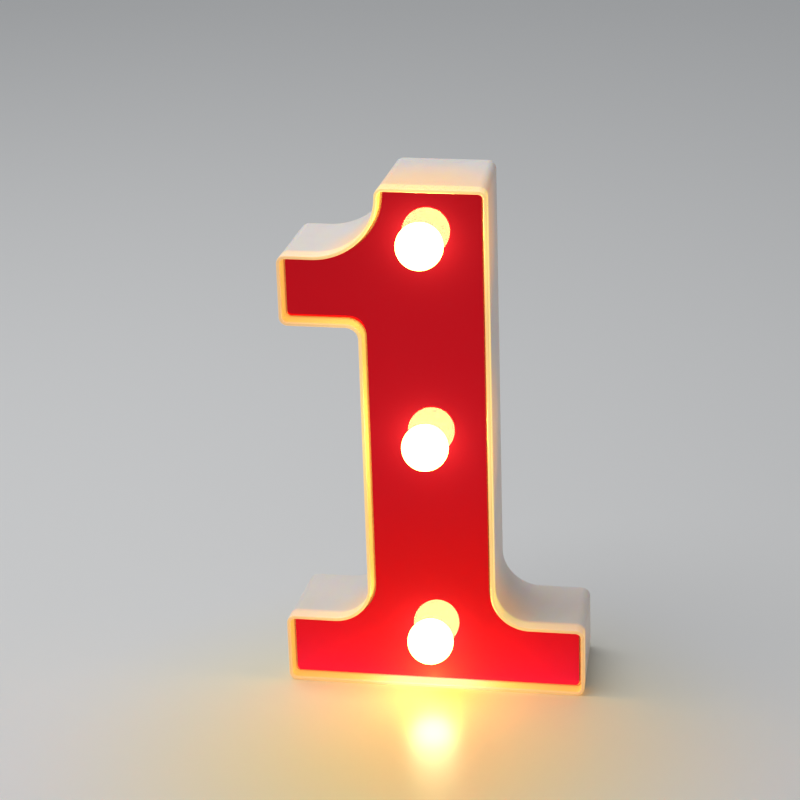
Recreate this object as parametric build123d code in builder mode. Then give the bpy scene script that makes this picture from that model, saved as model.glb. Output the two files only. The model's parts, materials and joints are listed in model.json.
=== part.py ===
from build123d import *
from math import sqrt
import os

os.makedirs("parts", exist_ok=True)

# A battery-lit figure 1, standing on its foot. Millimetres.
# X is to the right, Z is up and the front faces -Y. The origin lies on the table,
# under the middle of the shaft, halfway through the depth of the tray.

# Outline of the figure at its front edge
height = 220.0
shaft_width = 52.3
foot_width = 124.0
foot_shift = 1.1
foot_height = 30.4
flag_reach = 31.7
flag_height = 29.8
flag_drop = 29.2
swoop_radius = 25.8
swoop_step = 8.1
foot_sweep = 14.6
flag_sweep = 5.0
corner_radius = 3.6
least_corner = 1.6

# Walls of the tray, which draws in towards its back
back_taper = 1.9
back_rounding = 2.2
rim_rounding = 0.4
rim_inner_rounding = 0.3
wall = 1.4
ledge = 1.2
back_wall = 2.0

# Face: mirror sheet, film and carrier plate, from the front
panel_recess = 4.8
panel_thickness = 1.0
panel_margin = 1.0
film_thickness = 0.2
film_margin = 1.2
plate_thickness = 1.6
plate_gap = 0.1

# Lamps
bottom_lamp_rise = 23.8
middle_lamp_lift = 1.05
top_lamp_drop = 22.1
ball_radius = 9.45
ball_wall = 1.0
ball_seat_gap = 0.02
neck_radius = 4.8
neck_wall = 1.2
neck_fit = 0.1
bead_rise = 0.4
bead_length = 0.8
bead_setback = 1.6
holder_wall = 0.9
holder_length = 6.2
neck_stop = 0.6
board_radius = 7.0
board_thickness = 1.0
board_fit = 0.1
board_setback = 0.4

# Light-emitting diodes
led_radius = 2.5
led_flange_rise = 0.4
led_flange_height = 1.0
led_barrel = 5.1
led_lead_radius = 0.25
led_lead_spacing = 2.54
led_lead_tail = 1.6
lead_hole_fit = 0.1

# Screws that hold the plate to posts in the tray
post_radius = 3.0
post_margin = 13.5
flag_post_inset = 14.0
middle_post_lift = 14.0
screw_radius = 1.0
screw_length = 8.0
screw_head_radius = 2.3
screw_fit = 0.1
pilot_depth = 10.0
cross_width = 0.6
cross_depth = 0.7

# Battery bay and cells
cell_radius = 7.25
can_length = 49.5
nub_radius = 2.75
nub_length = 1.0
can_bevel = 0.5
cell_gap = 0.4
cell_side_gap = 0.5
cell_floor_gap = 0.2
cell_door_gap = 0.5
spring_height = 5.7
spring_radius = 4.4
spring_wire = 0.35
spring_turns = 4.25
contact_thickness = 0.4
contact_size = 10.8
contact_tab = 3.0
tab_reach = 3.0
tab_fit = 0.2
positive_tab_shift = 1.6
bay_top_drop = 2.4
bay_wall = 2.2
bay_floor = 1.6
wiring_room = 16.8

# Battery door
door_thickness = 1.8
door_ledge = 1.3
door_gap = 0.2
door_seat_gap = 0.1
door_corner = 1.5
tongue_width = 5.0
tongue_spacing = 18.0
tongue_thickness = 1.0
tongue_reach = 2.2
tongue_root = 1.0
tongue_gap = 0.2
tongue_side_gap = 0.3
tongue_swing_gap = 1.6
latch_width = 12.0
latch_length = 9.0
latch_slit = 0.8
nub_width = 8.0
nub_height = 0.6
nub_rise = 0.12
groove_width = 0.8
groove_pitch = 1.8
groove_depth = 0.5
scoop_width = 14.0
scoop_height = 7.0
scoop_depth = 1.2
scoop_corner = 2.0

# Slide switch in the back
switch_lift = 25.1
switch_travel = 3.0
pocket_side_margin = 4.0
pocket_end_margin = 3.0
pocket_depth = 1.5
pocket_corner = 1.5
pad_margin = 1.0
knob_width = 4.0
knob_height = 3.0
knob_fit = 0.2
knob_shy = 0.2
knob_foot_rise = 0.7
knob_foot_depth = 2.2
knob_groove = 0.3
window_gap = 0.2
switch_side_wall = 2.1
switch_end_wall = 0.9
switch_floor = 2.2
switch_ear_reach = 2.0
switch_ear_thickness = 0.6
switch_screw_margin = 1.5
switch_screw_radius = 0.7
switch_screw_head = 1.7
switch_screw_head_height = 1.0
switch_screw_length = 2.8
switch_pilot_depth = 2.6
switch_pilot_fit = 0.05
ear_hole_fit = 0.3
pin_pitch = 4.0
pin_width = 1.0
pin_thickness = 0.4
pin_length = 3.2

# Keyhole for a wall hook
keyhole_drop = 44.0
keyhole_radius = 4.0
keyhole_slot_radius = 2.0
keyhole_slot_length = 8.0

# Wiring
wire_radius = 0.6
wire_side = 3.0
wire_edge = 2.5
wire_standoff = 3.4
wire_bend = 1.5
feed_bend = 1.2
resistor_radius = 1.2
resistor_length = 6.5
resistor_rounding = 0.5
resistor_lead_radius = 0.25
resistor_upper_lead = 8.0
resistor_lower_lead = 2.5

# Pieces that others enclose or carry
holder_radius = board_radius + board_fit + holder_wall
neck_bore = neck_radius - neck_wall
bay_length = 2 * contact_thickness + spring_height + can_length + nub_length
bay_width = 4 * cell_radius + cell_gap + 2 * cell_side_gap
door_width = bay_width + 2 * door_ledge
door_height = bay_length + 2 * door_ledge
pocket_width = knob_width + switch_travel + 2 * pocket_side_margin
pocket_height = knob_height + 2 * pocket_end_margin
switch_screw_spacing = pocket_width + 2 * switch_screw_margin
switch_ear_width = switch_screw_spacing + 2 * switch_ear_reach
slider_width = knob_width + switch_travel + 2 * (knob_foot_rise + knob_fit)
slider_height = knob_height + 2 * (knob_foot_rise + knob_fit)
switch_box_width = slider_width + 2 * switch_side_wall
switch_box_height = slider_height + 2 * switch_end_wall
slider_depth = knob_foot_depth + 2 * knob_fit

# The tray is as deep as what it holds, from the sheet at the front to the door at the back
face_depth = panel_recess + panel_thickness + film_thickness + plate_thickness
bay_depth = bay_floor + cell_floor_gap + 2 * cell_radius + cell_door_gap + door_thickness
depth = face_depth + wiring_room + bay_depth

# Places along Y
front_y = -depth / 2
back_y = depth / 2
back_inner_y = back_y - back_wall
panel_front_y = front_y + panel_recess
panel_rear_y = panel_front_y + panel_thickness
plate_front_y = panel_rear_y + film_thickness
plate_rear_y = plate_front_y + plate_thickness
shoulder_y = panel_front_y - ball_seat_gap
ball_y = shoulder_y - sqrt(ball_radius ** 2 - neck_radius ** 2)
holder_rear_y = plate_rear_y + holder_length
board_rear_y = holder_rear_y - board_setback
board_front_y = board_rear_y - board_thickness
neck_end_y = board_front_y - neck_stop
wire_y = board_rear_y + wire_standoff
door_inner_y = back_y - door_thickness
cell_y = door_inner_y - cell_door_gap - cell_radius
bay_floor_y = cell_y - cell_radius - cell_floor_gap
tongue_outer_y = back_inner_y - tongue_gap
tongue_inner_y = tongue_outer_y - tongue_thickness
pocket_floor_y = back_y - pocket_depth
pad_inner_y = pocket_floor_y - back_wall
ear_inner_y = pad_inner_y - switch_ear_thickness
switch_rear_y = ear_inner_y - slider_depth - switch_floor

# Places along Z
top_lamp_rise = height - top_lamp_drop
middle_lamp_rise = (bottom_lamp_rise + top_lamp_rise) / 2 + middle_lamp_lift
lamp_rises = {"top": top_lamp_rise, "middle": middle_lamp_rise, "bottom": bottom_lamp_rise}
bay_top = middle_lamp_rise - bay_top_drop
bay_bottom = bay_top - bay_length
bay_middle = (bay_bottom + bay_top) / 2
door_bottom = bay_bottom - door_ledge
door_top = bay_top + door_ledge
switch_rise = middle_lamp_rise + switch_lift
keyhole_rise = height - keyhole_drop
flag_top = height - flag_drop
flag_bottom = flag_top - flag_height

# Places along X, and the posts' places in X and Z
cell_x = cell_radius + cell_gap / 2
swoop_x = -shaft_width / 2 + swoop_step - swoop_radius
post_places = [
    (-shaft_width / 2 - flag_reach + flag_post_inset, flag_top - flag_height / 2),
    (shaft_width / 2 - post_margin + post_radius, height - post_margin + post_radius),
    (-shaft_width / 2 + post_margin - post_radius, switch_rise + middle_post_lift),
    (foot_shift - foot_width / 2 + post_margin, foot_height / 2),
    (foot_shift + foot_width / 2 - post_margin, foot_height / 2),
]


def upright(y):
    # A drawing plane that faces the front, with X to the right and Z up
    return Plane.XZ.offset(-y)


def taper_at(y):
    # How far a side wall has drawn in by the depth y
    return back_taper * (y - front_y) / depth


def round_corners(points, radius):
    for point in points:
        fillet(vertices().sort_by_distance(Vector(*point))[0], radius)


def figure(inset, taper):
    # The figure's outline, drawn in by inset all round and by taper on all sides but the underside
    side = inset + taper
    left, right = -shaft_width / 2 + side, shaft_width / 2 - side
    foot_left, foot_right = foot_shift - foot_width / 2 + side, foot_shift + foot_width / 2 - side
    flag_left = -shaft_width / 2 - flag_reach + side
    top, foot_top = height - side, foot_height - side
    flag_upper, flag_lower = flag_top - side, flag_bottom + side
    swoop_z = flag_top + swoop_radius
    swoop_end = swoop_x + sqrt((swoop_radius + side) ** 2 - (top - swoop_z) ** 2)
    with BuildSketch() as outline:
        with BuildLine():
            Polyline(
                (swoop_end, top),
                (right, top),
                (right, foot_top),
                (foot_right, foot_top),
                (foot_right, inset),
                (foot_left, inset),
                (foot_left, foot_top),
                (left, foot_top),
                (left, flag_lower),
                (flag_left, flag_lower),
                (flag_left, flag_upper),
                (swoop_x, flag_upper),
            )
            TangentArc((swoop_x, flag_upper), (swoop_end, top), tangent=(1, 0))
        make_face()
        outward = [
            (swoop_end, top),
            (right, top),
            (foot_right, foot_top),
            (foot_left, foot_top),
            (flag_left, flag_lower),
            (flag_left, flag_upper),
        ]
        round_corners(outward, max(corner_radius - inset, least_corner))
        # The two corners on the table tighten with the taper, which keeps the underside flat
        round_corners([(foot_right, inset), (foot_left, inset)], max(corner_radius - side, least_corner))
        round_corners([(right, foot_top), (left, foot_top)], foot_sweep + side)
        round_corners([(left, flag_lower)], flag_sweep + side)
    return outline.sketch


with BuildPart() as housing:
    with BuildSketch(upright(front_y)):
        add(figure(0, 0))
    with BuildSketch(upright(back_y)):
        add(figure(0, back_taper))
    loft(ruled=True)
    fillet(housing.edges().group_by(Axis.Y)[-1], back_rounding)
    # Recess for the face, then the hollow behind its ledge
    with BuildSketch(upright(front_y)):
        add(figure(wall, 0))
    with BuildSketch(upright(plate_rear_y)):
        add(figure(wall, taper_at(plate_rear_y)))
    loft(ruled=True, mode=Mode.SUBTRACT)
    with BuildSketch(upright(plate_rear_y)):
        add(figure(wall + ledge, taper_at(plate_rear_y)))
    with BuildSketch(upright(back_inner_y)):
        add(figure(wall + ledge, taper_at(back_inner_y)))
    loft(ruled=True, mode=Mode.SUBTRACT)
    # Posts for the plate's screws
    with BuildSketch(upright(back_inner_y)):
        with Locations(*post_places):
            Circle(post_radius)
    extrude(amount=back_inner_y - plate_rear_y)
    with BuildSketch(upright(plate_rear_y)):
        with Locations(*post_places):
            Circle(screw_radius + screw_fit)
    extrude(amount=-pilot_depth, mode=Mode.SUBTRACT)
    # Battery bay
    with BuildSketch(upright(back_inner_y)):
        with Locations((0, bay_middle)):
            Rectangle(bay_width + 2 * bay_wall, bay_length + 2 * bay_wall)
    extrude(amount=back_inner_y - bay_floor_y + bay_floor)
    with BuildSketch(upright(back_y)):
        with Locations((0, bay_middle)):
            Rectangle(bay_width, bay_length)
    extrude(amount=back_y - bay_floor_y, mode=Mode.SUBTRACT)
    with BuildSketch(upright(back_y)):
        with Locations((0, bay_middle)):
            RectangleRounded(door_width + 2 * door_gap, door_height + 2 * door_gap, door_corner)
    extrude(amount=door_thickness + door_seat_gap, mode=Mode.SUBTRACT)
    # Thumb scoop above the door
    with BuildSketch(upright(back_y)):
        with Locations((0, door_top + scoop_height / 2)):
            RectangleRounded(scoop_width, scoop_height, scoop_corner)
    extrude(amount=scoop_depth, mode=Mode.SUBTRACT)
    # Slots that the door's tongues reach through, and notches in the door's seat for their roots
    with BuildSketch(upright(back_inner_y)):
        with Locations((0, bay_bottom - (bay_wall + tongue_reach) / 2)):
            with GridLocations(tongue_spacing, 0, 2, 1):
                Rectangle(tongue_width + 2 * tongue_side_gap, bay_wall + tongue_reach)
    extrude(amount=tongue_thickness + tongue_gap + tongue_swing_gap, mode=Mode.SUBTRACT)
    with BuildSketch(upright(back_y)):
        with Locations((0, bay_bottom - (door_ledge + door_gap) / 2)):
            with GridLocations(tongue_spacing, 0, 2, 1):
                Rectangle(tongue_width + 2 * tongue_side_gap, door_ledge + door_gap)
    extrude(amount=back_wall, mode=Mode.SUBTRACT)
    # Slots for the two solder tabs
    with BuildSketch(Plane.XY.offset(bay_top)):
        with Locations((-cell_x - positive_tab_shift, cell_y), (cell_x - positive_tab_shift, cell_y)):
            Rectangle(contact_tab + 2 * tab_fit, contact_thickness + 2 * tab_fit)
    extrude(amount=bay_wall, mode=Mode.SUBTRACT)
    # Switch: pad inside, pocket outside, window and screw holes
    with BuildSketch(upright(back_inner_y)):
        with Locations((0, switch_rise)):
            Rectangle(switch_ear_width + 2 * pad_margin, pocket_height)
    extrude(amount=back_inner_y - pad_inner_y)
    with BuildSketch(upright(back_y)):
        with Locations((0, switch_rise)):
            RectangleRounded(pocket_width, pocket_height, pocket_corner)
    extrude(amount=pocket_depth, mode=Mode.SUBTRACT)
    with BuildSketch(upright(pocket_floor_y)):
        with Locations((0, switch_rise)):
            Rectangle(
                knob_width + switch_travel + 2 * (knob_fit + window_gap),
                knob_height + 2 * (knob_fit + window_gap),
            )
    extrude(amount=back_wall, mode=Mode.SUBTRACT)
    with BuildSketch(upright(pad_inner_y)):
        with Locations((0, switch_rise)):
            with GridLocations(switch_screw_spacing, 0, 2, 1):
                Circle(switch_screw_radius + switch_pilot_fit)
    extrude(amount=-switch_pilot_depth, mode=Mode.SUBTRACT)
    # Keyhole: a round entry with a slot above it
    with BuildSketch(upright(back_y)):
        with Locations((0, keyhole_rise)):
            Circle(keyhole_radius)
        with Locations((0, keyhole_rise + keyhole_slot_length / 2)):
            SlotCenterToCenter(keyhole_slot_length, 2 * keyhole_slot_radius, rotation=90)
    extrude(amount=back_wall, mode=Mode.SUBTRACT)
    # Soften both edges of the rim
    rim = housing.faces().sort_by(Axis.Y)[0]
    fillet(rim.outer_wire().edges(), rim_rounding)
    rim = housing.faces().sort_by(Axis.Y)[0]
    fillet(rim.inner_wires()[0].edges(), rim_inner_rounding)
housing.part.label = "housing"
export_step(housing.part, "parts/housing.step")


with BuildPart() as front_plate:
    with BuildSketch(upright(plate_rear_y)):
        add(figure(wall + plate_gap, taper_at(plate_rear_y)))
        with Locations(*[(0, rise) for rise in lamp_rises.values()]):
            Circle(neck_radius + neck_fit, mode=Mode.SUBTRACT)
    extrude(amount=plate_thickness)
    # Countersinks, from the head's full width at the front to the screw's own at the back
    for x, z in post_places:
        with BuildSketch(upright(plate_front_y)):
            with Locations((x, z)):
                Circle(screw_head_radius + screw_fit)
        with BuildSketch(upright(plate_rear_y)):
            with Locations((x, z)):
                Circle(screw_radius + screw_fit)
        loft(mode=Mode.SUBTRACT)
front_plate.part.label = "front_plate"
export_step(front_plate.part, "parts/front_plate.step")


with BuildPart() as panel_adhesive:
    with BuildSketch(upright(plate_front_y)):
        add(figure(wall + panel_margin + film_margin, taper_at(panel_rear_y)))
        with Locations(*[(0, rise) for rise in lamp_rises.values()]):
            Circle(neck_radius + film_margin, mode=Mode.SUBTRACT)
    extrude(amount=film_thickness)
panel_adhesive.part.label = "panel_adhesive"
export_step(panel_adhesive.part, "parts/panel_adhesive.step")


with BuildPart() as face_panel:
    with BuildSketch(upright(panel_rear_y)):
        add(figure(wall + panel_margin, taper_at(panel_rear_y)))
        with Locations(*[(0, rise) for rise in lamp_rises.values()]):
            Circle(neck_radius + 2 * neck_fit, mode=Mode.SUBTRACT)
    extrude(amount=panel_thickness)
face_panel.part.label = "face_panel"
export_step(face_panel.part, "parts/face_panel.step")


# Countersunk screws, one at each post, with a cross recess in the head
with BuildPart() as plate_screws:
    for x, z in post_places:
        with BuildSketch(upright(plate_front_y)):
            with Locations((x, z)):
                Circle(screw_head_radius)
        with BuildSketch(upright(plate_rear_y)):
            with Locations((x, z)):
                Circle(screw_radius)
        loft()
        with BuildSketch(upright(plate_rear_y)):
            with Locations((x, z)):
                Circle(screw_radius)
        extrude(amount=-screw_length)
        with BuildSketch(upright(plate_front_y)):
            with Locations((x, z)):
                Rectangle(2 * screw_radius + cross_width, cross_width)
                Rectangle(cross_width, 2 * screw_radius + cross_width)
        extrude(amount=-cross_depth, mode=Mode.SUBTRACT)
plate_screws.part.label = "plate_screws"
export_step(plate_screws.part, "parts/plate_screws.step")


# The lamps are alike. Each is turned about its own axis, which runs along Y.
for place, rise in lamp_rises.items():
    turning_plane = Plane.XY.offset(rise)
    lamp_axis = Axis((0, 0, rise), (0, 1, 0))

    with BuildPart() as bulb:
        with BuildSketch(turning_plane):
            with BuildLine():
                throat_y = ball_y + sqrt((ball_radius - ball_wall) ** 2 - neck_bore ** 2)
                RadiusArc((0, ball_y - ball_radius), (ball_radius, ball_y), -ball_radius)
                RadiusArc((ball_radius, ball_y), (neck_radius, shoulder_y), -ball_radius)
                Polyline(
                    (neck_radius, shoulder_y),
                    (neck_radius, neck_end_y - bead_setback),
                    (neck_radius + bead_rise, neck_end_y - bead_setback),
                    (neck_radius + bead_rise, neck_end_y - bead_setback + bead_length),
                    (neck_radius, neck_end_y - bead_setback + bead_length),
                    (neck_radius, neck_end_y),
                    (neck_bore, neck_end_y),
                    (neck_bore, throat_y),
                )
                RadiusArc((neck_bore, throat_y), (ball_radius - ball_wall, ball_y), ball_radius - ball_wall)
                RadiusArc(
                    (ball_radius - ball_wall, ball_y),
                    (0, ball_y - ball_radius + ball_wall),
                    ball_radius - ball_wall,
                )
                Line((0, ball_y - ball_radius + ball_wall), (0, ball_y - ball_radius))
            make_face()
        revolve(axis=lamp_axis)
    bulb.part.label = f"bulb_{place}"
    export_step(bulb.part, f"parts/bulb_{place}.step")

    # Collar behind the plate: a groove takes the neck's bead, a pocket takes the board
    with BuildPart() as holder:
        with BuildSketch(turning_plane):
            inner = neck_radius + neck_fit
            groove_start = neck_end_y - bead_setback - neck_fit
            groove_end = neck_end_y - bead_setback + bead_length + neck_fit
            with BuildLine():
                Polyline(
                    (inner, plate_rear_y),
                    (holder_radius, plate_rear_y),
                    (holder_radius, holder_rear_y),
                    (board_radius + board_fit, holder_rear_y),
                    (board_radius + board_fit, board_front_y),
                    (inner, board_front_y),
                    (inner, groove_end),
                    (inner + bead_rise, groove_end),
                    (inner + bead_rise, groove_start),
                    (inner, groove_start),
                    (inner, plate_rear_y),
                )
            make_face()
        revolve(axis=lamp_axis)
    holder.part.label = f"holder_{place}"
    export_step(holder.part, f"parts/holder_{place}.step")

    with BuildPart() as led_board:
        with BuildSketch(upright(board_rear_y)):
            with Locations((0, rise)):
                Circle(board_radius)
                with GridLocations(led_lead_spacing, 0, 2, 1):
                    Circle(led_lead_radius + lead_hole_fit, mode=Mode.SUBTRACT)
        extrude(amount=board_thickness)
    led_board.part.label = f"led_board_{place}"
    export_step(led_board.part, f"parts/led_board_{place}.step")

    with BuildPart() as led:
        with BuildSketch(turning_plane):
            with BuildLine():
                flange_y = board_front_y - led_flange_height
                dome_y = board_front_y - led_flange_height - led_barrel
                Polyline(
                    (0, dome_y - led_radius),
                    (0, board_front_y),
                    (led_radius + led_flange_rise, board_front_y),
                    (led_radius + led_flange_rise, flange_y),
                    (led_radius, flange_y),
                    (led_radius, dome_y),
                )
                RadiusArc((led_radius, dome_y), (0, dome_y - led_radius), led_radius)
            make_face()
        revolve(axis=lamp_axis)
        with BuildSketch(upright(board_front_y)):
            with Locations((0, rise)):
                with GridLocations(led_lead_spacing, 0, 2, 1):
                    Circle(led_lead_radius)
        extrude(amount=-board_thickness - led_lead_tail)
    led.part.label = f"led_{place}"
    export_step(led.part, f"parts/led_{place}.step")


with BuildPart() as battery_door:
    with BuildSketch(upright(back_y)):
        with Locations((0, bay_middle)):
            RectangleRounded(door_width, door_height, door_corner - door_gap)
    extrude(amount=door_thickness)
    # Slits that free the latch, and grooves for the thumb
    with BuildSketch(upright(back_y)):
        with Locations((0, door_top - latch_length / 2)):
            with GridLocations(latch_width + latch_slit, 0, 2, 1):
                Rectangle(latch_slit, latch_length)
    extrude(amount=door_thickness, mode=Mode.SUBTRACT)
    with BuildSketch(upright(back_y)):
        with Locations((0, door_top - latch_length / 2)):
            with GridLocations(0, groove_pitch, 1, 3):
                Rectangle(latch_width - 2 * groove_width, groove_width)
    extrude(amount=groove_depth, mode=Mode.SUBTRACT)
    # Nub that keeps the latch shut
    with BuildSketch(upright(door_inner_y)):
        with Locations((0, door_top)):
            Rectangle(nub_width, 2 * nub_rise)
    extrude(amount=-nub_height)
    # Tongues: each has a root under the plate and a tip that hooks behind the back wall
    with BuildSketch(upright(door_inner_y)):
        with Locations((0, door_bottom + tongue_root / 2)):
            with GridLocations(tongue_spacing, 0, 2, 1):
                Rectangle(tongue_width, tongue_root)
    extrude(amount=door_inner_y - tongue_inner_y)
    with BuildSketch(upright(tongue_outer_y)):
        with Locations((0, door_bottom + (tongue_root - tongue_reach) / 2)):
            with GridLocations(tongue_spacing, 0, 2, 1):
                Rectangle(tongue_width, tongue_root + tongue_reach)
    extrude(amount=tongue_thickness)
battery_door.part.label = "battery_door"
export_step(battery_door.part, "parts/battery_door.step")


# Cells and springs. The left cell has its nub up, the right one has it down.
def stacked(start, direction):
    # A drawing plane across a cell, at the height start, that grows the way the cell points
    return Plane(origin=(0, 0, start), x_dir=(1, 0, 0), z_dir=(0, 0, direction))


for side, x, direction in (("left", -cell_x, 1), ("right", cell_x, -1)):
    spring_foot = bay_middle - direction * (bay_length / 2 - contact_thickness)
    can_foot = spring_foot + direction * spring_height
    can_head = can_foot + direction * can_length

    with BuildPart() as battery:
        with BuildSketch(stacked(can_foot, direction)):
            with Locations((x, direction * cell_y)):
                Circle(cell_radius)
        extrude(amount=can_length)
        chamfer(battery.edges().filter_by(GeomType.CIRCLE), can_bevel)
        with BuildSketch(stacked(can_head, direction)):
            with Locations((x, direction * cell_y)):
                Circle(nub_radius)
        extrude(amount=nub_length)
    battery.part.label = f"battery_{side}"
    export_step(battery.part, f"parts/battery_{side}.step")

    # Coil spring on the contact plate, pressing on the cell's flat end
    with BuildPart() as spring:
        with BuildLine() as coil:
            Helix(
                pitch=(spring_height - 2 * spring_wire) / spring_turns,
                height=spring_height - 2 * spring_wire,
                radius=spring_radius,
                center=(x, cell_y, spring_foot + direction * spring_wire),
                direction=(0, 0, direction),
            )
        with BuildSketch(Plane(origin=coil.line @ 0, z_dir=coil.line % 0)):
            Circle(spring_wire)
        sweep(is_frenet=True)
    spring.part.label = f"spring_{side}"
    export_step(spring.part, f"parts/spring_{side}.step")


with BuildPart() as contact_bridge:
    with BuildSketch(Plane.XY.offset(bay_bottom)):
        with Locations((0, cell_y)):
            Rectangle(2 * cell_x + contact_size, contact_size)
    extrude(amount=contact_thickness)
contact_bridge.part.label = "contact_bridge"
export_step(contact_bridge.part, "parts/contact_bridge.step")

# The two upper contacts each have a tab through the bay's end wall
for pole, x in (("positive", -cell_x), ("negative", cell_x)):
    with BuildPart() as contact:
        with BuildSketch(Plane.XY.offset(bay_top - contact_thickness)):
            with Locations((x, cell_y)):
                Rectangle(contact_size, contact_size)
        extrude(amount=contact_thickness)
        with BuildSketch(Plane.XY.offset(bay_top)):
            with Locations((x - positive_tab_shift, cell_y)):
                Rectangle(contact_tab, contact_thickness)
        extrude(amount=bay_wall + tab_reach)
    contact.part.label = f"contact_{pole}"
    export_step(contact.part, f"parts/contact_{pole}.step")


with BuildPart() as switch_body:
    with BuildSketch(upright(pad_inner_y)):
        with Locations((0, switch_rise)):
            Rectangle(switch_ear_width, switch_box_height)
            with GridLocations(switch_screw_spacing, 0, 2, 1):
                Circle(switch_screw_radius + ear_hole_fit, mode=Mode.SUBTRACT)
    extrude(amount=switch_ear_thickness)
    with BuildSketch(upright(ear_inner_y)):
        with Locations((0, switch_rise)):
            Rectangle(switch_box_width, switch_box_height)
    extrude(amount=ear_inner_y - switch_rear_y)
    # Room for the slider's foot, and the slot that its stem runs in
    with BuildSketch(upright(ear_inner_y)):
        with Locations((0, switch_rise)):
            Rectangle(slider_width, slider_height)
    extrude(amount=slider_depth, mode=Mode.SUBTRACT)
    with BuildSketch(upright(pad_inner_y)):
        with Locations((0, switch_rise)):
            Rectangle(knob_width + switch_travel + 2 * knob_fit, knob_height + 2 * knob_fit)
    extrude(amount=switch_ear_thickness, mode=Mode.SUBTRACT)
    # Three solder pins
    with BuildSketch(upright(switch_rear_y)):
        with Locations((0, switch_rise)):
            with GridLocations(pin_pitch, 0, 3, 1):
                Rectangle(pin_width, pin_thickness)
    extrude(amount=pin_length)
switch_body.part.label = "switch_body"
export_step(switch_body.part, "parts/switch_body.step")


# The slider is drawn at ON, the end of its travel on the +X side
with BuildPart() as switch_knob:
    knob_x = switch_travel / 2
    with BuildSketch(upright(ear_inner_y - knob_fit)):
        with Locations((knob_x, switch_rise)):
            Rectangle(knob_width + 2 * knob_foot_rise, knob_height + 2 * knob_foot_rise)
    extrude(amount=knob_foot_depth)
    with BuildSketch(upright(ear_inner_y - knob_fit)):
        with Locations((knob_x, switch_rise)):
            Rectangle(knob_width, knob_height)
    extrude(amount=-(back_y - knob_shy - ear_inner_y + knob_fit))
    with BuildSketch(upright(back_y - knob_shy)):
        with Locations((knob_x, switch_rise)):
            with GridLocations(knob_width / 4, 0, 3, 1):
                Rectangle(knob_groove, knob_height)
    extrude(amount=knob_groove, mode=Mode.SUBTRACT)
switch_knob.part.label = "switch_knob"
export_step(switch_knob.part, "parts/switch_knob.step")


with BuildPart() as switch_screws:
    with BuildSketch(upright(ear_inner_y)):
        with Locations((0, switch_rise)):
            with GridLocations(switch_screw_spacing, 0, 2, 1):
                Circle(switch_screw_head)
    extrude(amount=switch_screw_head_height)
    with BuildSketch(upright(ear_inner_y)):
        with Locations((0, switch_rise)):
            with GridLocations(switch_screw_spacing, 0, 2, 1):
                Circle(switch_screw_radius)
    extrude(amount=-switch_screw_length)
switch_screws.part.label = "switch_screws"
export_step(switch_screws.part, "parts/switch_screws.step")


# Wires end on the flat faces that they are soldered to
def lay_wire(name, route, bend):
    with BuildPart() as wire:
        with BuildLine() as path:
            FilletPolyline(*route, radius=bend)
        with BuildSketch(Plane(origin=path.line @ 0, z_dir=path.line % 0)):
            Circle(wire_radius)
        sweep()
    wire.part.label = name
    export_step(wire.part, f"parts/{name}.step")


pin_y = switch_rear_y - pin_length / 2
pin_under = switch_rise - pin_thickness / 2
tab_end = bay_top + bay_wall + tab_reach

for colour, x in (("red", -wire_side), ("black", wire_side)):
    for span, low, high in (("upper", "middle", "top"), ("lower", "bottom", "middle")):
        start = lamp_rises[low] + board_radius - wire_edge
        end = lamp_rises[high] - board_radius + wire_edge
        route = [(x, board_rear_y, start), (x, wire_y, start), (x, wire_y, end), (x, board_rear_y, end)]
        lay_wire(f"wire_{colour}_{span}", route, wire_bend)

positive_x = -cell_x - positive_tab_shift
negative_x = cell_x - positive_tab_shift
rise_to_pin = pin_under - tab_end
lay_wire(
    "wire_red_feed",
    [
        (positive_x, cell_y, tab_end),
        (positive_x, cell_y, tab_end + rise_to_pin / 3),
        (-pin_pitch, pin_y, pin_under - rise_to_pin / 3),
        (-pin_pitch, pin_y, pin_under),
    ],
    feed_bend,
)
feed_rise = tab_end - tab_reach / 2
lay_wire(
    "wire_black_feed",
    [
        (negative_x, cell_y - contact_thickness / 2, feed_rise),
        (negative_x, cell_y / 3, feed_rise),
        (wire_side, wire_y, feed_rise),
        (wire_side, board_rear_y, feed_rise),
    ],
    feed_bend,
)

# Resistor under the switch's middle pin, and its wire to the middle lamp
resistor_top = pin_under - resistor_upper_lead
resistor_bottom = resistor_top - resistor_length
resistor_end = resistor_bottom - resistor_lower_lead
with BuildPart() as resistor:
    with BuildSketch(Plane.XY.offset(resistor_bottom)):
        with Locations((0, pin_y)):
            Circle(resistor_radius)
    extrude(amount=resistor_length)
    fillet(resistor.edges().filter_by(GeomType.CIRCLE), resistor_rounding)
    with BuildSketch(Plane.XY.offset(resistor_end)):
        with Locations((0, pin_y)):
            Circle(resistor_lead_radius)
    extrude(amount=pin_under - resistor_end)
resistor.part.label = "resistor"
export_step(resistor.part, "parts/resistor.step")
lamp_side = middle_lamp_rise + wire_side
lay_wire(
    "wire_resistor",
    [(0, pin_y, resistor_end), (0, pin_y, lamp_side), (0, board_rear_y, lamp_side)],
    feed_bend,
)
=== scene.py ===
import bpy
import json
from math import cos, pi, radians, sin
from mathutils import Matrix, Vector


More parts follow.
